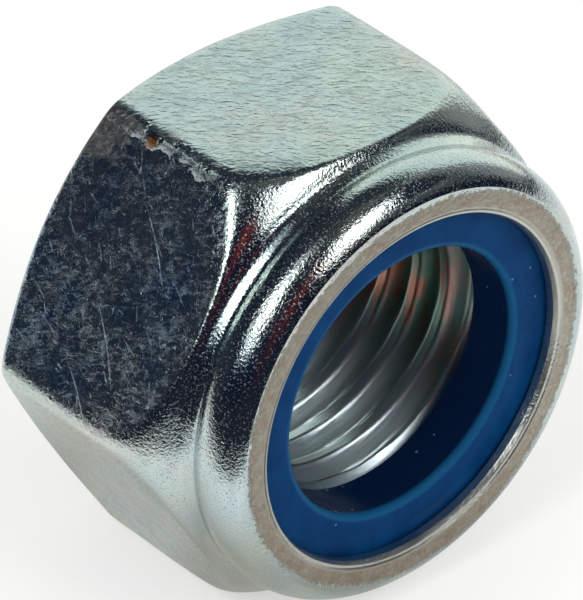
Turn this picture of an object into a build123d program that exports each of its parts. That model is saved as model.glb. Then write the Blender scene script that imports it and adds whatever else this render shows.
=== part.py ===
from build123d import *
import math
import os

# Hexagon lock nut, M16 x 2, with a nylon ring crimped into a collar on its front.
# It lies on one of its six flats, with the collar facing -Y. The origin is under its middle.
# Heights are measured along the thread axis, from the bearing face to the pressed face.

# thread: coarse metric, held in this model as the bore over its crests, which are tapped with some relief
thread_diameter = 16.0
thread_pitch = 2.0
thread_depth_per_pitch = 0.54127
thread_crest_relief = 0.09

# hexagon
across_flats = 24.0
nut_height = 15.5
hexagon_corner_rounding = 1.15
bearing_face_inset = 1.2
bearing_chamfer_angle = 30.0

# domed shoulder that cold forming leaves between the flats and the collar: a quarter ellipse
shoulder_setback = 2.3
shoulder_height = 6.9
shoulder_drop = 4.45
shoulder_end_angle = 75.0

# collar: it stays inside the flats, so that a socket passes over it
collar_inset = 0.4
collar_wall = 1.6
collar_roll_radius = 1.85
collar_roll_edge_angle = 23.0
neck_depth = 0.6
neck_rounding = 0.6

# lip rolled in over the ring and pressed flat
lip_thickness = 0.85
lip_overlap = 1.0
lip_edge_chamfer = 0.2

# nylon ring: its bore is smaller than the bolt, which cuts its own way through
ring_height = 2.8
ring_bite = 1.05
ring_edge_rounding = 0.35
ring_fit = 0.01

# countersinks at the two ends of the thread
front_countersink_angle = 45.0
rear_countersink_relief = 0.3
rear_countersink_angle = 45.0

# sizes that follow
thread_root_radius = thread_diameter / 2
thread_crest_radius = thread_root_radius - thread_depth_per_pitch * thread_pitch + thread_crest_relief
flat_radius = across_flats / 2
corner_radius = across_flats / math.sqrt(3)
bearing_radius = flat_radius - bearing_face_inset
bearing_chamfer_height = (corner_radius - bearing_radius) * math.tan(math.radians(bearing_chamfer_angle))
shoulder_apex_height = nut_height - shoulder_setback
shoulder_start_height = shoulder_apex_height - shoulder_height
shoulder_end_height = shoulder_start_height + shoulder_height * math.sin(math.radians(shoulder_end_angle))
collar_radius = flat_radius - collar_inset
roll_edge_angle = math.radians(collar_roll_edge_angle)
roll_center_radius = collar_radius - collar_roll_radius
roll_center_height = nut_height - collar_roll_radius * math.cos(roll_edge_angle)
pressed_face_radius = roll_center_radius + collar_roll_radius * math.sin(roll_edge_angle)
neck_radius = collar_radius - neck_depth
neck_roll_height = roll_center_height - math.sqrt(
    collar_roll_radius**2 - (collar_roll_radius - neck_depth) ** 2
)
seat_radius = collar_radius - collar_wall
ring_radius = seat_radius - ring_fit
ring_bore_radius = thread_root_radius - ring_bite
lip_radius = seat_radius - lip_overlap
lip_underside_height = nut_height - lip_thickness
ring_front_height = lip_underside_height - ring_fit
ring_rear_height = ring_front_height - ring_height
seat_floor_height = ring_rear_height - ring_fit
front_countersink_height = seat_floor_height - (thread_root_radius - thread_crest_radius) / math.tan(
    math.radians(front_countersink_angle)
)
rear_countersink_radius = thread_root_radius + rear_countersink_relief
rear_countersink_height = (rear_countersink_radius - thread_crest_radius) / math.tan(
    math.radians(rear_countersink_angle)
)

os.makedirs("parts", exist_ok=True)

# The bearing face's plane, whose normal runs along the thread, and the plane of the half sections,
# where x is the radius and y is the height above the bearing face.
bearing_center = (0, nut_height / 2, flat_radius)
thread_axis = Axis(bearing_center, (0, -1, 0))
bearing_plane = Plane(origin=bearing_center, x_dir=(1, 0, 0), z_dir=(0, -1, 0))
section_plane = Plane(origin=bearing_center, x_dir=(1, 0, 0), z_dir=(0, 0, -1))

# Steel body: a forged hexagon, formed to one outline all round and then bored.
with BuildPart() as nut_body:
    with BuildSketch(bearing_plane) as hexagon:
        RegularPolygon(radius=flat_radius, side_count=6, major_radius=False)
        fillet(hexagon.vertices(), radius=hexagon_corner_rounding)
    extrude(amount=nut_height)

    with BuildSketch(section_plane) as outline:
        # hexagon end: bearing face, chamfer, upright corners and the shoulder
        with BuildLine() as hexagon_end:
            shoulder = EllipticalCenterArc(
                (corner_radius - shoulder_drop, shoulder_start_height),
                x_radius=shoulder_drop,
                y_radius=shoulder_height,
                arc_size=shoulder_end_angle,
            )
            Polyline(
                shoulder @ 1,
                (0, shoulder_end_height),
                (0, 0),
                (bearing_radius, 0),
                (corner_radius, bearing_chamfer_height),
                shoulder @ 0,
            )
        make_face()
        # collar end: the neck, the roll that bulges as the lip is turned in, and the pressed face
        with BuildLine() as collar_end:
            roll = ThreePointArc(
                (neck_radius, neck_roll_height),
                (collar_radius, roll_center_height),
                (pressed_face_radius, nut_height),
            )
            Polyline(
                roll @ 1,
                (0, nut_height),
                (0, shoulder_start_height),
                (neck_radius, shoulder_start_height),
                roll @ 0,
            )
        make_face()
        neck_corner = outline.vertices().filter_by_position(
            Axis.Y, shoulder_start_height, nut_height, inclusive=(False, False)
        )
        fillet(neck_corner, radius=neck_rounding)
    revolve(axis=thread_axis, mode=Mode.INTERSECT)

    # bore: rear countersink, thread crests, front countersink, ring seat and lip
    with BuildSketch(section_plane) as bore:
        with BuildLine() as bore_outline:
            Polyline(
                (0, 0),
                (rear_countersink_radius, 0),
                (thread_crest_radius, rear_countersink_height),
                (thread_crest_radius, front_countersink_height),
                (thread_root_radius, seat_floor_height),
                (seat_radius, seat_floor_height),
                (seat_radius, lip_underside_height),
                (lip_radius, lip_underside_height),
                (lip_radius, nut_height - lip_edge_chamfer),
                (lip_radius + lip_edge_chamfer, nut_height),
                (0, nut_height),
                close=True,
            )
        make_face()
    revolve(axis=thread_axis, mode=Mode.SUBTRACT)
nut_body.part.label = "nut_body"
export_step(nut_body.part, "parts/nut_body.step")

# Nylon ring, held between the seat's floor and the lip. Its bore is rounded where it shows.
with BuildPart() as nylon_insert:
    with BuildSketch(section_plane) as ring_section:
        with Locations((ring_bore_radius, ring_rear_height)):
            Rectangle(ring_radius - ring_bore_radius, ring_height, align=(Align.MIN, Align.MIN))
        bore_corners = ring_section.vertices().group_by(Axis.X)[0]
        fillet(bore_corners.sort_by(Axis.Y)[-1], radius=ring_edge_rounding)
    revolve(axis=thread_axis)
nylon_insert.part.label = "nylon_insert"
export_step(nylon_insert.part, "parts/nylon_insert.step")
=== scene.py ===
import math

import bpy
from mathutils import Matrix, Vector


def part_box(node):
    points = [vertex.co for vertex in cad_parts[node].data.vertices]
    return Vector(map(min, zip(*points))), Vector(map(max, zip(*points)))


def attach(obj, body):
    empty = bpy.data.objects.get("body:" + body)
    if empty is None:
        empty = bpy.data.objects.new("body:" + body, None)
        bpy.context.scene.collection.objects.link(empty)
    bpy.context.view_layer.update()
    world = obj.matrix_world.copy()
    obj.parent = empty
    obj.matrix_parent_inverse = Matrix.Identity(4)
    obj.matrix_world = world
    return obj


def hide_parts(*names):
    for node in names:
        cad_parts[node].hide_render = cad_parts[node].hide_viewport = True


# Nylon insert lock nut lying on a flat: a zinc plated steel body with a blue ring crimped into it.
# Lengths in the dictionaries are millimetres. Heights run along the thread, from the bearing face.

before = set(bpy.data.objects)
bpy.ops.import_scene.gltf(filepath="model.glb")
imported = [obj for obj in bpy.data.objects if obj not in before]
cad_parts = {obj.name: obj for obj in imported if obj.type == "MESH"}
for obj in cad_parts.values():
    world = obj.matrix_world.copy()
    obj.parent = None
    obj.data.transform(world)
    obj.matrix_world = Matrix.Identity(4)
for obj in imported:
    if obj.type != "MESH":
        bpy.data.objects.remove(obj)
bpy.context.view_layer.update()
mm = 0.001
boxLow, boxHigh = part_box("nut_body")
nutHeight = (boxHigh.y - boxLow.y) / mm
flatRadius = (boxHigh.z - boxLow.z) / 2 / mm
axisLift = (boxHigh.z + boxLow.z) / 2 / mm
flatCount = 6
halfFlat = math.pi / flatCount
flatSpacing = 37.0  # moves the patterns of the six flats apart


def addNode(tree, kind, values=None, **settings):
    node = tree.nodes.new(kind)
    for name, value in settings.items():
        setattr(node, name, value)
    for key, value in (values or {}).items():
        if isinstance(value, bpy.types.NodeSocket):
            tree.links.new(value, node.inputs[key])
        else:
            node.inputs[key].default_value = value
    return node


def calc(tree, operation, *values):
    return addNode(tree, "ShaderNodeMath", dict(enumerate(values)), operation=operation).outputs[0]


def ramp(tree, value, fromLow, fromHigh, toLow=0.0, toHigh=1.0, smooth=False):
    values = {"Value": value, "From Min": fromLow, "From Max": fromHigh, "To Min": toLow, "To Max": toHigh}
    kind = "SMOOTHSTEP" if smooth else "LINEAR"
    return addNode(tree, "ShaderNodeMapRange", values, interpolation_type=kind).outputs[0]


def total(tree, *values):
    result = values[0]
    for value in values[1:]:
        result = calc(tree, "ADD", result, value)
    return result


def product(tree, *values):
    result = values[0]
    for value in values[1:]:
        result = calc(tree, "MULTIPLY", result, value)
    return result


def difference(tree, first, second):
    return calc(tree, "SUBTRACT", first, second)


def scaled(tree, vector, factor):
    values = {0: vector, "Scale": factor}
    return addNode(tree, "ShaderNodeVectorMath", values, operation="SCALE").outputs[0]


def newSocket(tree, name, kind, inOut="INPUT"):
    return tree.interface.new_socket(name=name, in_out=inOut, socket_type="NodeSocket" + kind)


# Points between two ends, no further apart than the longest step.
def between(start, end, step):
    pieces = max(1, math.ceil((end - start).length / step))
    return [start.lerp(end, n / pieces) for n in range(1, pieces)]


# Section of a turned form: straight runs between keys, each corner rounded by its own radius.
# A key is (radius, height, rounding, longest step on the run that leads to it).
def roundedSection(keys):
    points = []
    count = len(keys)
    for index, (radius, height, rounding, step) in enumerate(keys):
        here = Vector((radius, height))
        before = Vector(keys[index - 1][:2])
        after = Vector(keys[(index + 1) % count][:2])
        if rounding:
            halfTurn = (before - here).angle(after - here) / 2
            reach = rounding / math.tan(halfTurn)
            entry = here + (before - here).normalized() * reach
            leave = here + (after - here).normalized() * reach
            corner = [entry.lerp(here, t).lerp(here.lerp(leave, t), t) for t in (0, 0.25, 0.5, 0.75, 1)]
        else:
            corner = [here]
        if points:
            points += between(points[-1], corner[0], step)
        points += corner
    closingStep = keys[0][3]
    return points + between(points[-1], points[0], closingStep)


# Mesh outline that the turning tree spins: x is the radius, z the height, y marks the tapped rows.
def sectionObject(name, points, isTapped):
    mesh = bpy.data.meshes.new(name)
    vertices = [(point.x, isTapped(point), point.y) for point in points]
    edges = [(n, (n + 1) % len(points)) for n in range(len(points))]
    mesh.from_pydata(vertices, edges, [])
    section = bpy.data.objects.new(name, mesh)
    bpy.context.scene.collection.objects.link(section)
    return section


# How every turned form is built, in millimetres.
forming = {
    "blendFade": 1.0,
    "flatFade": (-0.1, 0.25),
    "waveDetail": 2.0,
    "waveFade": 0.6,
}


# A point at this radius and angle round the thread's axis, in millimetres.
def placeRound(tree, radius, angle, height, given):
    up = product(tree, radius, calc(tree, "SINE", angle))
    values = {
        "X": product(tree, radius, calc(tree, "COSINE", angle)),
        "Y": difference(tree, given["Half Height"], height),
        "Z": total(tree, up, given["Axis Lift"]),
    }
    return addNode(tree, "ShaderNodeCombineXYZ", values).outputs[0]


def storeAttribute(tree, geometry, name, value, kind="FLOAT"):
    values = {"Geometry": geometry, "Name": name, "Value": value}
    return addNode(tree, "GeometryNodeStoreNamedAttribute", values, data_type=kind).outputs[0]


def readAttribute(tree, name, kind="FLOAT"):
    node = addNode(tree, "GeometryNodeInputNamedAttribute", {"Name": name}, data_type=kind)
    return node.outputs["Attribute"]


# Distance from the axis to a flat, or to the arc that rounds the corner beside it.
def hexagonReach(tree, given, angle):
    fromCorner = calc(tree, "PINGPONG", angle, halfFlat)
    fromMiddle = difference(tree, halfFlat, fromCorner)
    flat = calc(tree, "DIVIDE", given["Flat Radius"], calc(tree, "COSINE", fromMiddle))
    rounding = given["Corner Rounding"]
    inset = difference(tree, given["Flat Radius"], rounding)
    centre = calc(tree, "DIVIDE", inset, math.cos(halfFlat))
    aside = product(tree, centre, calc(tree, "SINE", fromCorner))
    beyond = difference(tree, product(tree, rounding, rounding), product(tree, aside, aside))
    beyond = calc(tree, "SQRT", calc(tree, "MAXIMUM", beyond, 0.0))
    corner = total(tree, product(tree, centre, calc(tree, "COSINE", fromCorner)), beyond)
    tangentAside = product(tree, inset, math.tan(halfFlat))
    tangent = difference(tree, halfFlat, calc(tree, "ARCTAN2", tangentAside, given["Flat Radius"]))
    isCorner = calc(tree, "LESS_THAN", fromCorner, tangent)
    return addNode(tree, "ShaderNodeMix", {"Factor": isCorner, "A": flat, "B": corner}).outputs[0]


# Radius of a right-hand thread, from the distance to the middle of the nearest crest.
def threadReach(tree, given, height, angle):
    travel = difference(tree, height, given["Thread Start"])
    travel = calc(tree, "DIVIDE", travel, given["Thread Pitch"])
    travel = difference(tree, travel, calc(tree, "DIVIDE", angle, math.tau))
    fromCrest = product(tree, calc(tree, "PINGPONG", travel, 0.5), given["Thread Pitch"])
    halfPitch = calc(tree, "DIVIDE", given["Thread Pitch"], 2.0)
    rootEdge = difference(tree, halfPitch, given["Root Land"])
    return ramp(tree, fromCrest, given["Crest Land"], rootEdge, given["Thread Crest"], given["Thread Root"])


def buildTurningTree():
    tree = bpy.data.node_groups.new("turnedForm", "GeometryNodeTree")
    newSocket(tree, "Section", "Geometry")
    for name in ("Flat Radius", "Corner Rounding", "Edge Blend", "Blend End", "Corner Crowding"):
        newSocket(tree, name, "Float")
    for name in ("Thread Root", "Thread Crest", "Thread Pitch", "Crest Land", "Root Land", "Thread Start"):
        newSocket(tree, name, "Float")
    for name in ("Half Height", "Axis Lift", "Waviness", "Wave From", "Wave Size", "Seed"):
        newSocket(tree, name, "Float")
    newSocket(tree, "Columns", "Int")
    newSocket(tree, "Finish", "Material")
    newSocket(tree, "Geometry", "Geometry", inOut="OUTPUT")
    given = addNode(tree, "NodeGroupInput").outputs

    # sweep the section round a circle, keeping each point's place in the section and round the axis
    position = addNode(tree, "GeometryNodeInputPosition").outputs[0]
    outline = addNode(tree, "GeometryNodeMeshToCurve", {"Mesh": given["Section"]}).outputs[0]
    outline = storeAttribute(tree, outline, "section", position, "FLOAT_VECTOR")
    path = addNode(tree, "GeometryNodeCurvePrimitiveCircle", {"Resolution": given["Columns"]}).outputs[0]
    factor = addNode(tree, "GeometryNodeSplineParameter").outputs["Factor"]
    path = storeAttribute(tree, path, "turn", factor)
    swept = addNode(tree, "GeometryNodeCurveToMesh", {"Curve": path, "Profile Curve": outline}).outputs[0]
    section = readAttribute(tree, "section", "FLOAT_VECTOR")
    sectionRadius, isTapped, height = addNode(tree, "ShaderNodeSeparateXYZ", {0: section}).outputs
    angle = product(tree, readAttribute(tree, "turn"), math.tau)

    # columns crowd towards the six corners
    swing = calc(tree, "SINE", product(tree, angle, flatCount))
    angle = difference(tree, angle, product(tree, swing, given["Corner Crowding"]))

    # the flats cut the outline, with edges that are blended up to the end of the dome
    hexagon = hexagonReach(tree, given, angle)
    fadeStart = difference(tree, given["Blend End"], forming["blendFade"])
    belowEnd = ramp(tree, height, fadeStart, given["Blend End"], 1.0, 0.0)
    edgeBlend = product(tree, given["Edge Blend"], belowEnd)
    outer = calc(tree, "SMOOTH_MIN", sectionRadius, hexagon, edgeBlend)
    flatShare = ramp(tree, difference(tree, sectionRadius, hexagon), *forming["flatFade"])

    tapped = calc(tree, "MAXIMUM", sectionRadius, threadReach(tree, given, height, angle))
    radius = addNode(tree, "ShaderNodeMix", {"Factor": isTapped, "A": outer, "B": tapped}).outputs[0]

    # the forging's outside is a little uneven, always inwards
    placed = placeRound(tree, radius, angle, height, given)
    values = {"Vector": placed, "W": given["Seed"], "Scale": given["Wave Size"]}
    values["Detail"] = forming["waveDetail"]
    unevenness = addNode(tree, "ShaderNodeTexNoise", values, noise_dimensions="4D").outputs[0]
    waveFull = total(tree, given["Wave From"], forming["waveFade"])
    share = ramp(tree, sectionRadius, given["Wave From"], waveFull)
    sink = product(tree, unevenness, share, given["Waviness"])
    placed = placeRound(tree, difference(tree, radius, sink), angle, height, given)

    swept = storeAttribute(tree, swept, "flatShare", flatShare)
    values = {"Geometry": swept, "Position": scaled(tree, placed, mm)}
    formed = addNode(tree, "GeometryNodeSetPosition", values).outputs[0]
    smooth = addNode(tree, "GeometryNodeSetShadeSmooth", {0: formed}).outputs[0]
    real = addNode(tree, "GeometryNodeRealizeInstances", {0: smooth}).outputs[0]
    values = {"Geometry": real, "Material": given["Finish"]}
    done = addNode(tree, "GeometryNodeSetMaterial", values).outputs[0]
    addNode(tree, "NodeGroupOutput", {0: done})
    return tree


# Spins a section and returns the result as a plain mesh object.
def turnPiece(name, section, tree, values):
    values = {"Half Height": nutHeight / 2, "Axis Lift": axisLift, **values}
    modifier = section.modifiers.new("turning", "NODES")
    modifier.node_group = tree
    for item in tree.interface.items_tree:
        if item.in_out == "INPUT" and item.name in values:
            modifier[item.identifier] = values[item.name]
    graph = bpy.context.evaluated_depsgraph_get()
    mesh = bpy.data.meshes.new_from_object(section.evaluated_get(graph))
    bpy.data.objects.remove(section)
    mesh.name = name
    piece = bpy.data.objects.new(name, mesh)
    bpy.context.scene.collection.objects.link(piece)
    print(name, len(mesh.polygons), "faces")
    return piece


def newMaterial(name):
    material = bpy.data.materials.new(name)
    material.use_nodes = True
    tree = material.node_tree
    return material, tree, tree.nodes["Principled BSDF"]


# Relief is in millimetres.
def feedShader(tree, shader, color, roughness, relief):
    bump = addNode(tree, "ShaderNodeBump", {"Strength": 1.0, "Distance": mm, "Height": relief})
    for name, value in (("Base Color", color), ("Roughness", roughness), ("Normal", bump.outputs[0])):
        tree.links.new(value, shader.inputs[name])


def blend(tree, factor, first, second):
    node = addNode(tree, "ShaderNodeMix", {0: factor, 6: first, 7: second}, data_type="RGBA")
    return node.outputs[2]


def noise(tree, vector, scale, detail=2.0, roughness=0.5, distortion=0.0):
    values = {"Vector": vector, "Scale": scale, "Detail": detail, "Roughness": roughness}
    values["Distortion"] = distortion
    return addNode(tree, "ShaderNodeTexNoise", values).outputs[0]


# A noise and the fade that makes patches of it.
def patches(tree, vector, values):
    noiseValues, fade = values
    return ramp(tree, noise(tree, vector, *noiseValues), *fade)


def stretched(tree, vector, factors=(1, 1, 1), move=(0, 0, 0)):
    values = {"Vector": vector, "Scale": factors, "Location": move}
    return addNode(tree, "ShaderNodeMapping", values).outputs[0]


# Coordinates in which a pattern is drawn out along one direction of a flat.
def along(tree, vector, lean, stretch):
    values = {"Vector": vector, "Rotation": (0, 0, math.radians(lean)), "Scale": (stretch, 1, 1)}
    return addNode(tree, "ShaderNodeMapping", values, vector_type="TEXTURE").outputs[0]


def newGroup(name, inputs, outputs):
    tree = bpy.data.node_groups.new(name, "ShaderNodeTree")
    for key, kind in inputs.items():
        newSocket(tree, key, kind)
    for key, kind in outputs.items():
        newSocket(tree, key, kind, inOut="OUTPUT")
    return tree, addNode(tree, "NodeGroupInput").outputs


def place(tree, group, values=None):
    return addNode(tree, "ShaderNodeGroup", values, node_tree=group).outputs


# Where a point of the nut lies, in millimetres: from the axis, round it, along it and on its own flat.
def buildNutPlace():
    outputs = {"Point": "Vector", "Radius": "Float", "Angle": "Float", "Height": "Float"}
    tree, _ = newGroup("nutPlace", {}, {**outputs, "Flat Point": "Vector"})
    inMm = scaled(tree, addNode(tree, "ShaderNodeTexCoord").outputs["Object"], 1 / mm)
    axes = addNode(tree, "ShaderNodeSeparateXYZ", {0: inMm}).outputs
    height = difference(tree, nutHeight / 2, axes[1])
    up = difference(tree, axes[2], axisLift)
    squares = total(tree, product(tree, axes[0], axes[0]), product(tree, up, up))
    radius = calc(tree, "SQRT", squares)
    angle = calc(tree, "ARCTAN2", up, axes[0])
    sector = calc(tree, "FLOOR", calc(tree, "DIVIDE", angle, 2 * halfFlat))
    middle = product(tree, total(tree, sector, 0.5), 2 * halfFlat)
    across = product(tree, radius, calc(tree, "SINE", difference(tree, angle, middle)))
    across = total(tree, across, product(tree, sector, flatSpacing))
    point = addNode(tree, "ShaderNodeCombineXYZ", {0: axes[0], 1: height, 2: up}).outputs[0]
    onFlat = addNode(tree, "ShaderNodeCombineXYZ", {0: across, 1: height, 2: sector}).outputs[0]
    results = {"Point": point, "Radius": radius, "Angle": angle, "Height": height, "Flat Point": onFlat}
    addNode(tree, "NodeGroupOutput", results)
    return tree


# What all scratches, spots and grains have in common.
marks = {
    "shortest": 0.3,
    "fullLength": 0.5,
    "spotCore": 0.45,
    "spotEdge": (4.0, 0.65),
    "grain": (2.0, 0.55),
    "patchDetail": 3.0,
    "patchFade": (0.40, 0.62),
}


# Separate short scratches, one to a cell, each with its own turn and length.
def buildScratches():
    names = ("Cells per mm", "Length", "Width", "Lean", "Spread", "Bend", "Share")
    inputs = {name: "Float" for name in names}
    tree, given = newGroup("scratches", {"Vector": "Vector", **inputs}, {"Mask": "Float"})
    vector = scaled(tree, given["Vector"], given["Cells per mm"])
    cells = addNode(tree, "ShaderNodeTexVoronoi", {"Vector": vector, "Scale": 1.0}, voronoi_dimensions="2D")
    values = {0: vector, 1: cells.outputs["Position"]}
    offset = addNode(tree, "ShaderNodeVectorMath", values, operation="SUBTRACT").outputs[0]
    chance = addNode(tree, "ShaderNodeSeparateColor", {0: cells.outputs["Color"]}).outputs
    swing = product(tree, difference(tree, chance[0], 0.5), given["Spread"])
    values = {"Vector": offset, "Angle": calc(tree, "RADIANS", total(tree, given["Lean"], swing))}
    turned = addNode(tree, "ShaderNodeVectorRotate", values, rotation_type="Z_AXIS").outputs[0]
    axes = addNode(tree, "ShaderNodeSeparateXYZ", {0: turned}).outputs
    fromMiddle = calc(tree, "ABSOLUTE", axes[0])
    bow = product(tree, calc(tree, "POWER", fromMiddle, 2.0), given["Bend"])
    aside = calc(tree, "ABSOLUTE", total(tree, axes[1], bow))
    reach = product(tree, given["Length"], total(tree, chance[1], marks["shortest"]))
    lengthwise = ramp(tree, fromMiddle, reach, product(tree, reach, marks["fullLength"]))
    crosswise = ramp(tree, aside, given["Width"], 0.0)
    there = calc(tree, "LESS_THAN", chance[2], given["Share"])
    addNode(tree, "NodeGroupOutput", {"Mask": product(tree, lengthwise, crosswise, there)})
    return tree


# A stain or a dent with a broken edge, round a point of the surface.
def buildSpot():
    inputs = {name: "Float" for name in ("Size", "Raggedness", "Grain")}
    tree, given = newGroup("spot", {"Vector": "Vector", "Centre": "Vector", **inputs}, {"Mask": "Float"})
    values = {0: given["Vector"], 1: given["Centre"]}
    away = addNode(tree, "ShaderNodeVectorMath", values, operation="DISTANCE").outputs["Value"]
    broken = difference(tree, noise(tree, given["Vector"], given["Grain"], *marks["spotEdge"]), 0.5)
    away = total(tree, away, product(tree, broken, given["Raggedness"]))
    mask = ramp(tree, away, given["Size"], product(tree, given["Size"], marks["spotCore"]), smooth=True)
    addNode(tree, "NodeGroupOutput", {"Mask": mask})
    return tree


# Fine grain of a plated or moulded skin, stronger in some patches than in others. Height in mm.
def buildSkinGrain():
    inputs = {name: "Float" for name in ("Grains per mm", "Depth", "Patches per mm", "Evenness")}
    tree, given = newGroup("skinGrain", {"Vector": "Vector", **inputs}, {"Height": "Float"})
    fine = difference(tree, noise(tree, given["Vector"], given["Grains per mm"], *marks["grain"]), 0.5)
    coarse = noise(tree, given["Vector"], given["Patches per mm"], marks["patchDetail"])
    patch = ramp(tree, coarse, *marks["patchFade"], given["Evenness"])
    addNode(tree, "NodeGroupOutput", {"Height": product(tree, fine, patch, given["Depth"])})
    return tree


# Zinc plate and its thin passivation, with painted shade in the ripple valleys and painted pale reflections
# on the lip's edge and in the thread. Depths are millimetres, and places are (across, height, flat).
# A noise is (scale per mm, detail, roughness, distortion), a fade is (from, to, lowest, highest), and
# patches are a noise and its fade.
zinc = {
    "cool": (0.56, 0.655, 0.675, 1),
    "green": (0.61, 0.68, 0.62, 1),
    "warm": (0.70, 0.62, 0.58, 1),
    "pressed": (0.50, 0.46, 0.385, 1),
    "pressedBrown": (0.42, 0.345, 0.265, 1),
    # pale patches and rim of the pressed face, and the painted reflection on the lip's rounded edge
    "palePressedAndLipReflection": (0.64, 0.63, 0.57, 1),
    "threadTeal": (0.18, 0.33, 0.27, 1),
    "threadBrown": (0.48, 0.21, 0.15, 1),
    # pale colour of the painted reflection on the thread's lower side and lead-in
    "threadPaintedReflection": (0.80, 0.92, 0.94, 1),
    "blued": (0.26, 0.42, 0.66, 1),
    "stroke": (0.46, 0.60, 0.72, 1),
    # painted shade in the valleys of the ripples on the flats
    "rippleValleyShade": (0.42, 0.50, 0.50, 1),
    "worn": (0.20, 0.21, 0.22, 1),
    "wornLight": (0.66, 0.57, 0.50, 1),
    "rust": (0.42, 0.17, 0.05, 1),
    # tints of the whole nut, and the shift to a second, unrelated noise
    "elsewhere": (9, 4, 2),
    "broadPatches": ((0.12, 3.0, 0.6, 0.6), (0.40, 0.60)),
    "warmPatches": ((0.22, 4.0, 0.6), (0.52, 0.74, 0.0, 0.6)),
    # pressed face, its torn edge and the lip, whose rounded edge gets a painted pale reflection
    "tornNoise": (3.5, 5.0, 0.75),
    "tornWidth": 0.9,
    "swells": 3.0,
    "swellTurn": math.tau / 8,
    "swellDepth": 0.12,
    "frontDepths": (0.05, 0.02),
    "pressedFade": (10.31, 10.25),
    "rimFade": (10.10, 10.22),
    "lipReflectionDepths": (0.8, 0.7),
    "lipReflectionFade": (9.50, 9.36),
    "mottlePatches": ((1.3, 6.0, 0.8), (0.44, 0.58)),
    "palePatches": ((4.0, 4.0, 0.7), (0.50, 0.70, 0.0, 0.8)),
    "burrHeight": 0.03,
    "burrNoise": (5.0, 4.0, 0.7),
    "burrDepth": 0.045,
    # thread, with a painted pale reflection on its lower side and at its lead-in
    "threadStretch": (0.5, 2.5, 0.5),
    "threadPatches": ((0.8, 4.0, 0.6), (0.47, 0.60)),
    "reflectionLowSideFade": (-0.35, -0.85, 0.0, 0.9),
    "reflectionLeadInFade": (9.3, 11.0, 0.0, 0.35),
    "tapStretch": 0.12,
    "tapNoise": (4.5, 3.0, 0.5),
    "tapDepth": 0.012,
    # ripples on the flats: lean and stretch, then the pattern, the fade of the painted shade in their
    # valleys, and their depth
    "rippleGrain": (-42, 2.0),
    "rippleNoise": (3.4, 2.0, 0.55, 1.0),
    "rippleShadeFade": (0.52, 0.34, 0.0, 0.45),
    "rippleDepth": 0.065,
    # strokes: cells per mm, length, width, lean, spread and share of the cells, widest first
    "strokedFlat": 2.0,
    "strokes": (
        (3.2, 0.55, 0.12, -50, 70, 0.7),
        (0.8, 0.50, 0.035, -48, 50, 0.5),
        (0.22, 0.60, 0.007, -48, 16, 0.4),
    ),
    "strokeBend": 0.15,
    "strokeTint": 0.6,
    "strokeDepth": 0.008,
    "otherFlats": 0.08,
    "busyPatches": ((0.5, 6.0, 0.7), (0.34, 0.66, 0.30, 1.0)),
    "hatchGrain": (-58, 2.2),
    "hatchPatches": ((3.3, 7.0, 0.8, 0.5), (0.47, 0.64)),
    "bluedPatches": ((0.22, 5.0, 0.7), (0.46, 0.66)),
    "bluedEdge": (6.3, 5.7),
    "bluedHidden": 0.7,
    # wear near the rear of the stroked flat
    "wornSpot": {"Centre": (67.6, 1.7, 2), "Size": 3.3, "Raggedness": 5.0, "Grain": 1.3},
    "wornPatches": ((3.2, 8.0, 0.85), (0.44, 0.57)),
    "wornTint": 0.85,
    "rustSpot": {"Centre": (67.6, 4.95, 2), "Size": 0.42, "Raggedness": 0.9, "Grain": 4.0},
    "nickedEdge": 67.6,
    "wanderNoise": (0.9, 3.0, 0.6),
    "wanderWidth": 1.2,
    "nickedFade": (0.26, 0.06),
    "brokenPatches": ((1.1, 4.0, 0.7), (0.44, 0.56)),
    "nickNoise": (2.6, 4.0, 0.7),
    "nickDepth": 0.7,
    # shine
    "dullNoise": (0.7, 8.0, 0.78),
    "dullFade": (0.38, 0.66, 0.12),
    "dullest": (0.40, 0.17),
    "formedPatches": ((0.6, 3.0), (0.35, 0.7, 0.05, 0.11)),
    "sparkPatches": ((10.0, 2.0, 0.6), (0.58, 0.66, 0.0, 0.5)),
    "pressedRoughness": 0.40,
    "lipRoughness": 0.28,
    "wornRoughness": 0.42,
    "threadRoughness": 0.34,
    "strokeRoughness": 0.26,
    # grain of the formed surfaces, and what is left of it on the flats and in the thread
    "grain": {"Grains per mm": 7.0, "Depth": 0.036, "Patches per mm": 0.35, "Evenness": 0.35},
    "grainLeft": 0.25,
}


# Masks of the pressed face, of its pale rim and of the lip's rounded edge, which gets a painted pale
# reflection.
def pressedMasks(tree, where):
    torn = difference(tree, noise(tree, where["Point"], *zinc["tornNoise"]), 0.5)
    tornRadius = total(tree, where["Radius"], product(tree, torn, zinc["tornWidth"]))
    turned = difference(tree, product(tree, where["Angle"], zinc["swells"]), zinc["swellTurn"])
    swell = product(tree, calc(tree, "SINE", turned), zinc["swellDepth"])
    tornRadius = difference(tree, tornRadius, swell)
    atFront = ramp(tree, where["Height"], *(nutHeight - depth for depth in zinc["frontDepths"]))
    pressed = product(tree, atFront, ramp(tree, tornRadius, *zinc["pressedFade"]))
    rim = product(tree, pressed, ramp(tree, tornRadius, *zinc["rimFade"]))
    lipEdgeReflection = ramp(tree, where["Height"], *(nutHeight - depth for depth in zinc["lipReflectionDepths"]))
    lipEdgeReflection = product(tree, lipEdgeReflection, ramp(tree, where["Radius"], *zinc["lipReflectionFade"]))
    return pressed, rim, lipEdgeReflection


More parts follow.
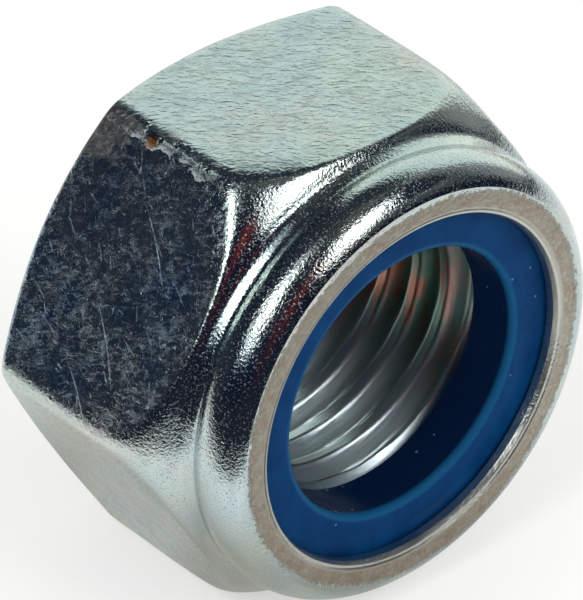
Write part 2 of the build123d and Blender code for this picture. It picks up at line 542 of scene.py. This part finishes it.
def passivationAndReflections(tree, where, tapped, pressed, rim, lipEdgeReflection):
    point = where["Point"]
    elsewhere = stretched(tree, point, move=zinc["elsewhere"])
    broad = patches(tree, point, zinc["broadPatches"])
    color = blend(tree, broad, zinc["cool"], zinc["green"])
    warmth = patches(tree, elsewhere, zinc["warmPatches"])
    color = blend(tree, warmth, color, zinc["warm"])

    mottle = patches(tree, point, zinc["mottlePatches"])
    tan = blend(tree, mottle, zinc["pressedBrown"], zinc["pressed"])
    pale = patches(tree, elsewhere, zinc["palePatches"])
    tan = blend(tree, pale, tan, zinc["palePressedAndLipReflection"])
    color = blend(tree, pressed, color, tan)
    color = blend(tree, rim, color, zinc["palePressedAndLipReflection"])
    # painted pale reflection on the lip's rounded edge
    color = blend(tree, lipEdgeReflection, color, zinc["palePressedAndLipReflection"])

    drawnOut = stretched(tree, point, zinc["threadStretch"])
    stain = patches(tree, drawnOut, zinc["threadPatches"])
    threadStainAndReflection = blend(tree, stain, zinc["threadTeal"], zinc["threadBrown"])
    # painted pale reflection on the lower side of the bore and at its lead-in
    reflectionLowSide = ramp(tree, calc(tree, "SINE", where["Angle"]), *zinc["reflectionLowSideFade"])
    reflectionLeadIn = ramp(tree, where["Height"], *zinc["reflectionLeadInFade"], smooth=True)
    threadStainAndReflection = blend(tree, calc(tree, "MAXIMUM", reflectionLowSide, reflectionLeadIn), threadStainAndReflection, zinc["threadPaintedReflection"])
    return blend(tree, tapped, color, threadStainAndReflection)


# Masks of the hatching of broad strokes, and of all strokes and long scratches together.
def strokeMasks(tree, groups, flatPoint, onStroked):
    strokes = []
    for cells, length, width, lean, spread, share in zinc["strokes"]:
        values = {"Vector": flatPoint, "Cells per mm": cells, "Length": length, "Width": width}
        values.update({"Lean": lean, "Spread": spread, "Bend": zinc["strokeBend"], "Share": share})
        strokes.append(place(tree, groups["scratches"], values)["Mask"])
    patchy = patches(tree, flatPoint, zinc["busyPatches"])
    leaning = along(tree, flatPoint, *zinc["hatchGrain"])
    hatched = patches(tree, leaning, zinc["hatchPatches"])
    hatched = product(tree, calc(tree, "MAXIMUM", hatched, strokes[0]), patchy)
    scratched = calc(tree, "MINIMUM", total(tree, hatched, *strokes[1:]), 1.0)
    scratched = product(tree, scratched, ramp(tree, onStroked, 0.0, 1.0, zinc["otherFlats"], 1.0))
    return hatched, scratched


# Blue patches, away from the flat's edges and fainter under the hatching.
def bluedMask(tree, flatPoint, across, hatched):
    tint = patches(tree, flatPoint, zinc["bluedPatches"])
    clear = difference(tree, 1.0, product(tree, hatched, zinc["bluedHidden"]))
    fromMiddle = calc(tree, "ABSOLUTE", difference(tree, across, flatSpacing * zinc["strokedFlat"]))
    return product(tree, tint, clear, ramp(tree, fromMiddle, *zinc["bluedEdge"]))


def plateRoughness(tree, point, flatPoint, onFlat, onStroked):
    dullest = ramp(tree, onStroked, 0.0, 1.0, *zinc["dullest"])
    flats = ramp(tree, noise(tree, flatPoint, *zinc["dullNoise"]), *zinc["dullFade"], dullest)
    formed = patches(tree, point, zinc["formedPatches"])
    sparks = patches(tree, point, zinc["sparkPatches"])
    values = {0: onFlat, 2: total(tree, formed, sparks), 3: flats}
    return addNode(tree, "ShaderNodeMix", values).outputs[0]


# A broken line of nicks that wanders along the stroked flat's upper edge.
def nickRelief(tree, point, flatPoint, across, onStroked):
    wander = difference(tree, noise(tree, flatPoint, *zinc["wanderNoise"]), 0.5)
    wandering = total(tree, across, product(tree, wander, zinc["wanderWidth"]))
    away = calc(tree, "ABSOLUTE", difference(tree, wandering, zinc["nickedEdge"]))
    elsewhere = stretched(tree, point, move=zinc["elsewhere"])
    broken = patches(tree, elsewhere, zinc["brokenPatches"])
    nicked = product(tree, ramp(tree, away, *zinc["nickedFade"]), onStroked, broken)
    return product(tree, noise(tree, flatPoint, *zinc["nickNoise"]), nicked, zinc["nickDepth"])


# Marks that the tap drew out along the thread.
def tapRelief(tree, where, tapped):
    lead = product(tree, where["Angle"], body["threadPitch"] / math.tau)
    onHelix = difference(tree, where["Height"], lead)
    values = {0: onHelix, 1: where["Radius"], 2: product(tree, where["Angle"], zinc["tapStretch"])}
    tapPlace = addNode(tree, "ShaderNodeCombineXYZ", values).outputs[0]
    return product(tree, noise(tree, tapPlace, *zinc["tapNoise"]), tapped, zinc["tapDepth"])


def zincFinish(groups):
    material, tree, shader = newMaterial("zincPlate")
    where = place(tree, groups["nutPlace"])
    point, flatPoint = where["Point"], where["Flat Point"]
    across, _, flatNumber = addNode(tree, "ShaderNodeSeparateXYZ", {0: flatPoint}).outputs
    onFlat = addNode(tree, "ShaderNodeAttribute", attribute_name="flatShare").outputs["Fac"]
    onStroked = product(tree, calc(tree, "COMPARE", flatNumber, zinc["strokedFlat"], 0.5), onFlat)
    section = addNode(tree, "ShaderNodeAttribute", attribute_name="section").outputs["Vector"]
    tapped = addNode(tree, "ShaderNodeSeparateXYZ", {0: section}).outputs[1]
    pressed, rim, lipEdgeReflection = pressedMasks(tree, where)
    ripple = noise(tree, along(tree, flatPoint, *zinc["rippleGrain"]), *zinc["rippleNoise"])
    hatched, scratched = strokeMasks(tree, groups, flatPoint, onStroked)
    worn = place(tree, groups["spot"], {"Vector": flatPoint, **zinc["wornSpot"]})["Mask"]
    rust = place(tree, groups["spot"], {"Vector": flatPoint, **zinc["rustSpot"]})["Mask"]

    color = passivationAndReflections(tree, where, tapped, pressed, rim, lipEdgeReflection)
    # painted shade in the valleys of the ripples on the flats
    paintedRippleShade = product(tree, ramp(tree, ripple, *zinc["rippleShadeFade"]), onFlat)
    color = blend(tree, paintedRippleShade, color, zinc["rippleValleyShade"])
    blued = product(tree, bluedMask(tree, flatPoint, across, hatched), onStroked)
    color = blend(tree, blued, color, zinc["blued"])
    color = blend(tree, product(tree, scratched, zinc["strokeTint"]), color, zinc["stroke"])
    wornLight = patches(tree, flatPoint, zinc["wornPatches"])
    wornColor = blend(tree, wornLight, zinc["worn"], zinc["wornLight"])
    color = blend(tree, product(tree, worn, zinc["wornTint"]), color, wornColor)
    color = blend(tree, rust, color, zinc["rust"])
    shader.inputs["Metallic"].default_value = 1.0

    roughness = plateRoughness(tree, point, flatPoint, onFlat, onStroked)
    for mask, least in ((pressed, "pressed"), (lipEdgeReflection, "lip"), (worn, "worn"), (tapped, "thread")):
        roughness = calc(tree, "MAXIMUM", roughness, product(tree, mask, zinc[least + "Roughness"]))
    roughness = total(tree, roughness, product(tree, scratched, zinc["strokeRoughness"]))

    grain = place(tree, groups["skinGrain"], {"Vector": point, **zinc["grain"]})["Height"]
    smoother = calc(tree, "MAXIMUM", onFlat, tapped)
    grain = product(tree, grain, ramp(tree, smoother, 0.0, 1.0, 1.0, zinc["grainLeft"]))
    ripples = product(tree, ripple, onFlat, zinc["rippleDepth"])
    dents = product(tree, scratched, -zinc["strokeDepth"])
    nicks = nickRelief(tree, point, flatPoint, across, onStroked)
    burr = product(tree, noise(tree, point, *zinc["burrNoise"]), zinc["burrDepth"])
    burr = product(tree, burr, total(tree, pressed, rim))
    burr = total(tree, burr, product(tree, pressed, zinc["burrHeight"]))
    relief = total(tree, grain, ripples, dents, nicks, burr, tapRelief(tree, where, tapped))
    feedShader(tree, shader, color, roughness, relief)
    return material


# Moulded nylon with a painted highlight on its rounded inner edge and painted shade on its bore wall.
# Depths are millimetres.
nylon = {
    "deep": (0.001, 0.030, 0.112, 1),
    "bright": (0.003, 0.050, 0.165, 1),
    "paintedWallShade": (0.002, 0.013, 0.050, 1),
    "paintedEdgeHighlight": (0.012, 0.110, 0.240, 1),
    "scuff": (0.25, 0.36, 0.52, 1),
    "cloudPatches": ((0.35, 4.0, 0.6), (0.35, 0.65)),
    "edgeHighlightFade": (7.35, 7.12, 0.0, 0.6),
    "wallShadeRadii": (7.02, 6.97),
    "wallShadeHeights": (14.40, 14.20),
    "scuffs": {
        "Cells per mm": 0.5,
        "Length": 0.6,
        "Width": 0.03,
        "Lean": 20,
        "Spread": 60,
        "Bend": 0.4,
        "Share": 0.3,
    },
    "scuffTint": 0.35,
    "scuffDepth": 0.006,
    "specksPerMm": 1.1,
    "speckSize": 0.07,
    "speckTint": 0.5,
    "shine": 0.03,
    "roughPatches": ((1.2, 4.0, 0.6), (0.3, 0.7, 0.16, 0.30)),
    "grain": {"Grains per mm": 3.0, "Depth": 0.004, "Patches per mm": 0.3, "Evenness": 0.3},
}


def nylonFinish(groups):
    material, tree, shader = newMaterial("blueNylon")
    where = place(tree, groups["nutPlace"])
    point, radius = where["Point"], where["Radius"]
    cloud = patches(tree, point, nylon["cloudPatches"])
    color = blend(tree, cloud, nylon["deep"], nylon["bright"])
    # painted highlight on the rounded inner edge
    innerEdgeHighlight = ramp(tree, radius, *nylon["edgeHighlightFade"], smooth=True)
    color = blend(tree, innerEdgeHighlight, color, nylon["paintedEdgeHighlight"])
    # painted shade on the bore wall inside the recess
    boreWallShade = ramp(tree, where["Height"], *nylon["wallShadeHeights"])
    boreWallShade = product(tree, boreWallShade, ramp(tree, radius, *nylon["wallShadeRadii"]))
    color = blend(tree, boreWallShade, color, nylon["paintedWallShade"])
    scuffs = place(tree, groups["scratches"], {"Vector": point, **nylon["scuffs"]})["Mask"]
    dust = addNode(tree, "ShaderNodeTexVoronoi", {"Vector": point, "Scale": nylon["specksPerMm"]})
    speck = calc(tree, "LESS_THAN", dust.outputs["Distance"], nylon["speckSize"])
    scuffed = product(tree, scuffs, nylon["scuffTint"])
    scuffed = calc(tree, "MAXIMUM", scuffed, product(tree, speck, nylon["speckTint"]))
    color = blend(tree, scuffed, color, nylon["scuff"])
    shader.inputs["Specular IOR Level"].default_value = nylon["shine"]
    roughness = patches(tree, point, nylon["roughPatches"])
    grain = place(tree, groups["skinGrain"], {"Vector": point, **nylon["grain"]})["Height"]
    relief = total(tree, grain, product(tree, scuffs, -nylon["scuffDepth"]))
    feedShader(tree, shader, color, roughness, relief)
    return material


def buildSurfaceGroups():
    return {
        "nutPlace": buildNutPlace(),
        "scratches": buildScratches(),
        "spot": buildSpot(),
        "skinGrain": buildSkinGrain(),
    }


# Steel body, as a half section that is turned round the thread's axis and cut by the six flats.
body = {
    "bearingRadius": 10.8,
    "chamferAngle": 30,
    "collarRadius": 11.6,
    "rollRadius": 1.85,
    "rollEdgeAngle": 23,
    "lipThickness": 0.85,
    "lipSlope": ((9.46, 15.5), (9.14, 15.42), (9.03, 15.18), (9.0, 14.75)),
    "seatRadius": 10.0,
    "seatFloor": 11.83,
    "threadRoot": 8.0,
    "threadCrest": 7.0075,
    "threadPitch": 2.0,
    "rearCountersink": 8.3,
    "uprightRadius": 14.7,
    "domeStart": (13.85, 8.9),
    "domeEnd": (11.74, 12.20),
    "domeLeans": (12, 57),
    "domePulls": (1.7, 0.9),
    "domeSteps": 20,
    "neckEnd": (11.42, 12.87),
    "neckLeans": (52, 16),
    "neckPulls": (0.12, 0.42),
    "neckSteps": 10,
    "rollStart": -24,
    "rollStep": 4,
    "boreMargin": (0.05, 0.02),
    "turning": {
        "Columns": 336,
        "Corner Rounding": 1.15,
        "Corner Crowding": 0.1,
        "Edge Blend": 1.0,
        "Crest Land": 0.3,
        "Root Land": 0.125,
        "Thread Start": -0.21,
        "Waviness": 0.05,
        "Wave From": 10.6,
        "Wave Size": 0.35,
        "Seed": 3.0,
    },
    # rounding of a corner and longest step of the run that leads to it
    "rearKey": (0.08, 0.11),
    "bearingKey": (0.25, 0.6),
    "chamferKey": (0.3, 0.2),
    "shoulderKey": (0.4, 0.3),
    "domeKey": (0, 0.25),
    "rollKey": (0, 0.5),
    "pressedKey": (0.04, 0.3),
    "lipKey": (0.05, 0.3),
    "lipFloorKey": (0, 0.5),
    "seatKey": (0.1, 0.8),
    "threadEndKey": (0.05, 0.3),
    "threadKey": (0, 0.11),
}


# Points of a curve whose ends lean inwards from the thread's axis by these angles.
def curve(start, end, leans, pulls, steps):
    start, end = Vector(start), Vector(end)
    startLean, endLean = (math.radians(lean) for lean in leans)
    first = start + Vector((-math.sin(startLean), math.cos(startLean))) * pulls[0]
    last = end - Vector((-math.sin(endLean), math.cos(endLean))) * pulls[1]
    points = []
    for step in range(steps + 1):
        t = step / steps
        nearStart = start * (1 - t) ** 3 + first * 3 * t * (1 - t) ** 2
        points.append(nearStart + last * 3 * t**2 * (1 - t) + end * t**3)
    return points


# Everything outside: the bearing face, the chamfer, the upright corners, the dome, the neck and the roll.
def outsideKeys():
    rise = math.tan(math.radians(body["chamferAngle"]))
    upright = body["uprightRadius"]
    domeStart, domeEnd = body["domeStart"], body["domeEnd"]
    # the dome's first slope runs straight on outwards to the corners
    domeSlope = math.tan(math.radians(body["domeLeans"][0]))
    shoulder = domeStart[1] - (upright - domeStart[0]) / domeSlope
    keys = [
        (body["rearCountersink"], 0, *body["rearKey"]),
        (body["bearingRadius"], 0, *body["bearingKey"]),
        (upright, (upright - body["bearingRadius"]) * rise, *body["chamferKey"]),
        (upright, shoulder, *body["shoulderKey"]),
    ]
    dome = curve(domeStart, domeEnd, body["domeLeans"], body["domePulls"], body["domeSteps"])
    neck = curve(domeEnd, body["neckEnd"], body["neckLeans"], body["neckPulls"], body["neckSteps"])
    keys += [(at.x, at.y, *body["domeKey"]) for at in dome + neck[1:]]
    rollCentre = body["collarRadius"] - body["rollRadius"]
    rollHeight = nutHeight - body["rollRadius"] * math.cos(math.radians(body["rollEdgeAngle"]))
    for degrees in range(body["rollStart"], 90 - body["rollEdgeAngle"], body["rollStep"]):
        angle = math.radians(degrees)
        radius = rollCentre + body["rollRadius"] * math.cos(angle)
        keys.append((radius, rollHeight + body["rollRadius"] * math.sin(angle), *body["rollKey"]))
    pressedEdge = rollCentre + body["rollRadius"] * math.sin(math.radians(body["rollEdgeAngle"]))
    keys.append((pressedEdge, nutHeight, *body["pressedKey"]))
    return keys


# Everything inside: the lip, the seat that the ring fills, and the bore with its two countersinks.
def insideKeys():
    crest = body["threadCrest"]
    lipFloor = nutHeight - body["lipThickness"]
    lip = [(radius, height, *body["lipKey"]) for radius, height in body["lipSlope"]]
    return [
        *lip,
        (body["seatRadius"], lipFloor, *body["lipFloorKey"]),
        (body["seatRadius"], body["seatFloor"], *body["seatKey"]),
        (body["threadRoot"], body["seatFloor"], *body["threadEndKey"]),
        (crest, body["seatFloor"] - body["threadRoot"] + crest, *body["threadKey"]),
        (crest, body["rearCountersink"] - crest, *body["threadKey"]),
    ]


def makeBody(tree, finish):
    boreRadius = body["rearCountersink"] - body["boreMargin"][0]
    boreEnd = body["seatFloor"] - body["boreMargin"][1]

    def isTapped(point):
        return 1.0 if point.x < boreRadius and point.y < boreEnd else 0.0

    section = sectionObject("bodySection", roundedSection(outsideKeys() + insideKeys()), isTapped)
    values = {
        **body["turning"],
        "Flat Radius": flatRadius,
        "Blend End": body["domeEnd"][1],
        "Thread Root": body["threadRoot"],
        "Thread Crest": body["threadCrest"],
        "Thread Pitch": body["threadPitch"],
        "Finish": finish,
    }
    piece = turnPiece("nutBody", section, tree, values)
    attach(piece, "root")
    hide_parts("nut_body")


# Ring: it fills the body's seat but for a small clearance, and its bore is smaller than the thread.
ring = {
    "clearance": 0.01,
    "boreRadius": 6.95,
    "height": 2.8,
    # rounding of a corner and longest step of the run that leads to it
    "rearKey": (0.1, 0.3),
    "hiddenKey": (0.1, 0.4),
    "edgeKey": (0.35, 0.2),
    # flats far outside the ring and a thread inside its bore change nothing on it
    "turning": {
        "Columns": 256,
        "Flat Radius": 100.0,
        "Thread Root": 1.0,
        "Thread Crest": 1.0,
        "Thread Pitch": 2.0,
    },
}


def makeRing(tree, finish):
    outer = body["seatRadius"] - ring["clearance"]
    rear = body["seatFloor"] + ring["clearance"]
    front = rear + ring["height"]
    points = roundedSection(
        [
            (ring["boreRadius"], rear, *ring["rearKey"]),
            (outer, rear, *ring["hiddenKey"]),
            (outer, front, *ring["hiddenKey"]),
            (ring["boreRadius"], front, *ring["edgeKey"]),
        ]
    )
    section = sectionObject("ringSection", points, lambda point: 0.0)
    piece = turnPiece("ringInsert", section, tree, {**ring["turning"], "Finish": finish})
    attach(piece, "root")
    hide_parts("nylon_insert")


# Camera: millimetres and degrees, looking at the middle of the nut and then slid sideways.
view = {
    "azimuth": -42.124,
    "elevation": 34.816,
    "roll": 1.228,
    "distance": 252.49,
    "lens": 321.26,
    "target": (0, -0.25, 12),
    "slide": (-0.8307, 0.958),
    "sensorWidth": 36,
    "nearClip": 10,
}


# Unit vector towards an azimuth and an elevation, in degrees.
def towards(azimuth, elevation):
    turn, lift = math.radians(azimuth), math.radians(elevation)
    return Vector((math.sin(turn) * math.cos(lift), -math.cos(turn) * math.cos(lift), math.sin(lift)))


def viewAxes():
    azimuth, roll = math.radians(view["azimuth"]), math.radians(view["roll"])
    back = towards(view["azimuth"], view["elevation"])
    right = Vector((math.cos(azimuth), math.sin(azimuth), 0))
    up = back.cross(right)
    rolledRight = right * math.cos(roll) + up * math.sin(roll)
    rolledUp = up * math.cos(roll) - right * math.sin(roll)
    return rolledRight, rolledUp, back


def makeCamera():
    right, up, back = viewAxes()
    aside, above = view["slide"]
    eye = Vector(view["target"]) + back * view["distance"] + right * aside + up * above
    camera = bpy.data.objects.new("camera", bpy.data.cameras.new("camera"))
    camera.data.lens = view["lens"]
    camera.data.sensor_width = view["sensorWidth"]
    camera.data.clip_start = view["nearClip"] * mm
    turned = Matrix((right, up, back)).transposed().to_4x4()
    camera.matrix_world = Matrix.Translation(eye * mm) @ turned
    bpy.context.scene.collection.objects.link(camera)
    bpy.context.scene.camera = camera


# Studio: glowing cards on a sphere round the nut that only mirrors see, painted reflections of the
# softboxes, the backdrop and the grey, dark and red surroundings. Turns are degrees to the right of the
# camera, rises are degrees above the floor, and each card runs from its low colour up to its high one.
studio = {
    "cardDistance": 450,
    "cards": {
        # painted reflections of the two softboxes, whose lamps mirrors don't see
        "keyBoxReflection": ((36, 56), (34, 80), (28, 58), (3.0, 3.1, 3.2), (3.4, 3.5, 3.6)),
        "fillBoxReflection": ((-58, -29), (-58, -28), (24, 57), (2.8, 3.0, 3.1), (3.4, 3.5, 3.6)),
        "fillTop": ((-54, -34), (-54, -34), (57, 74), (0.95, 1.05, 1.12), (0.60, 0.68, 0.75)),
        "backdrop": ((133, 202), (133, 202), (-4, 52), (1.12, 1.15, 1.09), (0.70, 0.84, 0.82)),
        "sideGrey": ((112, 133), (112, 133), (-4, 60), (0.30, 0.31, 0.32), (0.16, 0.17, 0.18)),
        "overGrey": ((20, 110), (20, 110), (66, 84), (0.14, 0.15, 0.15), (0.11, 0.12, 0.12)),
        "underKey": ((44, 108), (44, 108), (14, 30), (0.012, 0.014, 0.02), (0.14, 0.16, 0.17)),
        "underFill": ((-58, -14), (-58, -14), (12, 27), (0.008, 0.012, 0.03), (0.04, 0.08, 0.13)),
        "blueGloom": ((-150, -66), (-150, -66), (-6, 36), (0.028, 0.038, 0.058), (0.010, 0.015, 0.028)),
        "redCloth": ((4, 11), (18, 27), (8, 40), (0.15, 0.018, 0.022), (0.30, 0.032, 0.030)),
    },
    "cardGrid": (24, 16),
    "room": ((-0.5, 0.008, 0.010, 0.022), (0.5, 0.008, 0.012, 0.030), (0.98, 0.03, 0.035, 0.05)),
    "roomDistance": 520,
    "roomRises": (-2, 90),
    "roomGrid": (72, 24),
    "tableRadius": 1500,
    "tableLift": 0.2,
    "tableScale": 6.0,
    "tableDark": (0.010, 0.012, 0.022, 1),
    "tableLight": (0.020, 0.024, 0.040, 1),
    "sheetSides": 96,
    "sheetRadius": 105,
    "sheetBack": 75,
    "sheetLift": 0.05,
    "sheetShade": (11, 24),
    "sheetPaintedShadow": (0.43, 0.415, 0.38, 1),
    "sheetFar": (1.00, 1.03, 1.03, 1),
    "sheetMottle": (0.66, 0.66, 0.64, 1),
    "sheetPatches": ((110.0, 4.0, 0.6), (0.42, 0.62, 0.0, 0.6)),
    "lampSize": 300,
    "lampDistance": 480,
    "lampWatts": 0.7,
    "lamps": {"keyLamp": (60, 40), "fillLamp": (-45, 45)},
    "worldLight": 0.5,
    "floorReach": 3000,
    "floorRoughness": 0.9,
    "floorGlow": 0.43,
    "floorColor": (0.74, 0.73, 0.71, 1),
}


def studioDirection(turn, rise):
    return towards(turn + view["azimuth"], rise)


def stageMesh(name, vertices, faces, material):
    mesh = bpy.data.meshes.new(name)
    mesh.from_pydata(vertices, [], faces)
    mesh.materials.append(material)
    piece = bpy.data.objects.new(name, mesh)
    bpy.context.scene.collection.objects.link(piece)
    return piece


# A glowing piece that only mirrors see, a painted reflection: it neither lights nor shades the nut, and
# the camera looks through it. Its tint is a function of the material's tree and of the point.
def mirroredPiece(name, vertices, faces, tint):
    material, tree, shader = newMaterial(name)
    tree.nodes.remove(shader)
    point = addNode(tree, "ShaderNodeTexCoord").outputs["Object"]
    glow = addNode(tree, "ShaderNodeEmission", {"Color": tint(tree, point)})
    tree.links.new(glow.outputs[0], tree.nodes["Material Output"].inputs["Surface"])
    piece = stageMesh(name, vertices, faces, material)
    for ray in ("camera", "diffuse", "shadow", "volume_scatter"):
        setattr(piece, "visible_" + ray, False)


# Rows of points on a sphere round the nut, and the quads between them.
def sphereGrid(distance, columns, rows, direction):
    centre = Vector((0, 0, axisLift * mm))
    vertices = []
    for row in range(rows + 1):
        for column in range(columns + 1):
            vertices.append(centre + direction(column / columns, row / rows) * distance)
    wide = columns + 1
    faces = []
    for row in range(rows):
        for column in range(columns):
            first = row * wide + column
            faces.append((first, first + 1, first + 1 + wide, first + wide))
    return vertices, faces


def makeCard(name, lowTurns, highTurns, rises, lowColor, highColor):
    distance = studio["cardDistance"] * mm
    bottom, top = (axisLift * mm + math.sin(math.radians(rise)) * distance for rise in rises)

    def direction(across, up):
        left, right = (low + (high - low) * up for low, high in zip(lowTurns, highTurns))
        return studioDirection(left + (right - left) * across, rises[0] + (rises[1] - rises[0]) * up)

    def tint(tree, point):
        lift = addNode(tree, "ShaderNodeSeparateXYZ", {0: point}).outputs[2]
        return blend(tree, ramp(tree, lift, bottom, top), (*lowColor, 1), (*highColor, 1))

    mirroredPiece(name, *sphereGrid(distance, *studio["cardGrid"], direction), tint)


# Painted reflection of a dark room behind the cards, lighter overhead.
def makeRoom():
    distance = studio["roomDistance"] * mm
    lowest, highest = studio["roomRises"]

    def direction(across, up):
        return studioDirection(360 * across, lowest + (highest - lowest) * up)

    def tint(tree, point):
        lift = addNode(tree, "ShaderNodeSeparateXYZ", {0: point}).outputs[2]
        steps = studio["room"]
        color = (*steps[0][1:], 1)
        for before, after in zip(steps, steps[1:]):
            up = ramp(tree, lift, before[0] * distance, after[0] * distance)
            color = blend(tree, up, color, (*after[1:], 1))
        return color

    mirroredPiece("darkRoom", *sphereGrid(distance, *studio["roomGrid"], direction), tint)


# Points round the middle of the pale sheet, which lies a little behind the nut.
def roundSheet(radius, lift):
    centre = -studioDirection(0, 0) * studio["sheetBack"] * mm
    points = []
    for side in range(studio["sheetSides"]):
        angle = math.tau * side / studio["sheetSides"]
        x = centre.x + radius * mm * math.cos(angle)
        y = centre.y + radius * mm * math.sin(angle)
        points.append((x, y, lift * mm))
    return points


# The pale sheet ends a little way off, and beyond it the metal sees a painted reflection of a dark table.
def makeTable():
    count = studio["sheetSides"]
    lift = studio["tableLift"]
    vertices = roundSheet(studio["sheetRadius"], lift) + roundSheet(studio["tableRadius"], lift)
    faces = [(n, (n + 1) % count, (n + 1) % count + count, n + count) for n in range(count)]

    def tint(tree, point):
        mottle = noise(tree, point, studio["tableScale"])
        return blend(tree, mottle, studio["tableDark"], studio["tableLight"])

    mirroredPiece("darkTable", vertices, faces, tint)


# What mirrors see of the sheet itself: a painted shadow of the nut that pales away from it, and a little
# uneven.
def makeSheet():
    vertices = roundSheet(studio["sheetRadius"], studio["sheetLift"])

    def tint(tree, point):
        away = addNode(tree, "ShaderNodeVectorMath", {0: point}, operation="LENGTH").outputs["Value"]
        # painted shadow of the nut, darkest near it and paling away
        shade = ramp(tree, away, *(reach * mm for reach in studio["sheetShade"]), smooth=True)
        color = blend(tree, shade, studio["sheetPaintedShadow"], studio["sheetFar"])
        mottle = patches(tree, point, studio["sheetPatches"])
        return blend(tree, mottle, color, studio["sheetMottle"])

    mirroredPiece("mirroredSheet", vertices, [tuple(range(len(vertices)))], tint)


def makeFloor():
    reach = studio["floorReach"] * mm
    corners = [(-reach, -reach, 0), (reach, -reach, 0), (reach, reach, 0), (-reach, reach, 0)]
    material, tree, shader = newMaterial("paleFloor")
    shader.inputs["Base Color"].default_value = studio["floorColor"]
    shader.inputs["Roughness"].default_value = studio["floorRoughness"]
    shader.inputs["Specular IOR Level"].default_value = 0.0
    shader.inputs["Emission Color"].default_value = (1, 1, 1, 1)
    shader.inputs["Emission Strength"].default_value = studio["floorGlow"]
    stageMesh("floor", corners, [(0, 1, 2, 3)], material)


def makeLamps():
    for name, (turn, rise) in studio["lamps"].items():
        lamp = bpy.data.objects.new(name, bpy.data.lights.new(name, "AREA"))
        lamp.data.energy = studio["lampWatts"]
        lamp.data.size = studio["lampSize"] * mm
        away = studioDirection(turn, rise)
        lamp.location = away * studio["lampDistance"] * mm + Vector((0, 0, axisLift * mm))
        lamp.rotation_euler = away.to_track_quat("Z", "Y").to_euler()
        lamp.visible_glossy = False
        bpy.context.scene.collection.objects.link(lamp)


# White for the camera and for what mirrors or lets through; softer as light.
def makeWorld():
    world = bpy.data.worlds.new("studio")
    bpy.context.scene.world = world
    world.use_nodes = True
    tree = world.node_tree
    path = addNode(tree, "ShaderNodeLightPath").outputs
    seen = calc(tree, "ADD", path["Is Camera Ray"], path["Is Glossy Ray"])
    seen = calc(tree, "MINIMUM", calc(tree, "ADD", seen, path["Is Transmission Ray"]), 1.0)
    strength = ramp(tree, seen, 0.0, 1.0, studio["worldLight"], 1.0)
    background = tree.nodes["Background"]
    background.inputs["Color"].default_value = (1, 1, 1, 1)
    tree.links.new(strength, background.inputs["Strength"])


def makeStudio():
    makeFloor()
    makeSheet()
    makeTable()
    makeRoom()
    for name, card in studio["cards"].items():
        makeCard(name, *card)
    makeLamps()
    makeWorld()


makeCamera()
print("camera ready")
makeStudio()
print("studio ready")
turning = buildTurningTree()
surfaces = buildSurfaceGroups()
makeBody(turning, zincFinish(surfaces))
makeRing(turning, nylonFinish(surfaces))
print("nut ready")
bpy.context.scene.view_settings.view_transform = "Standard"
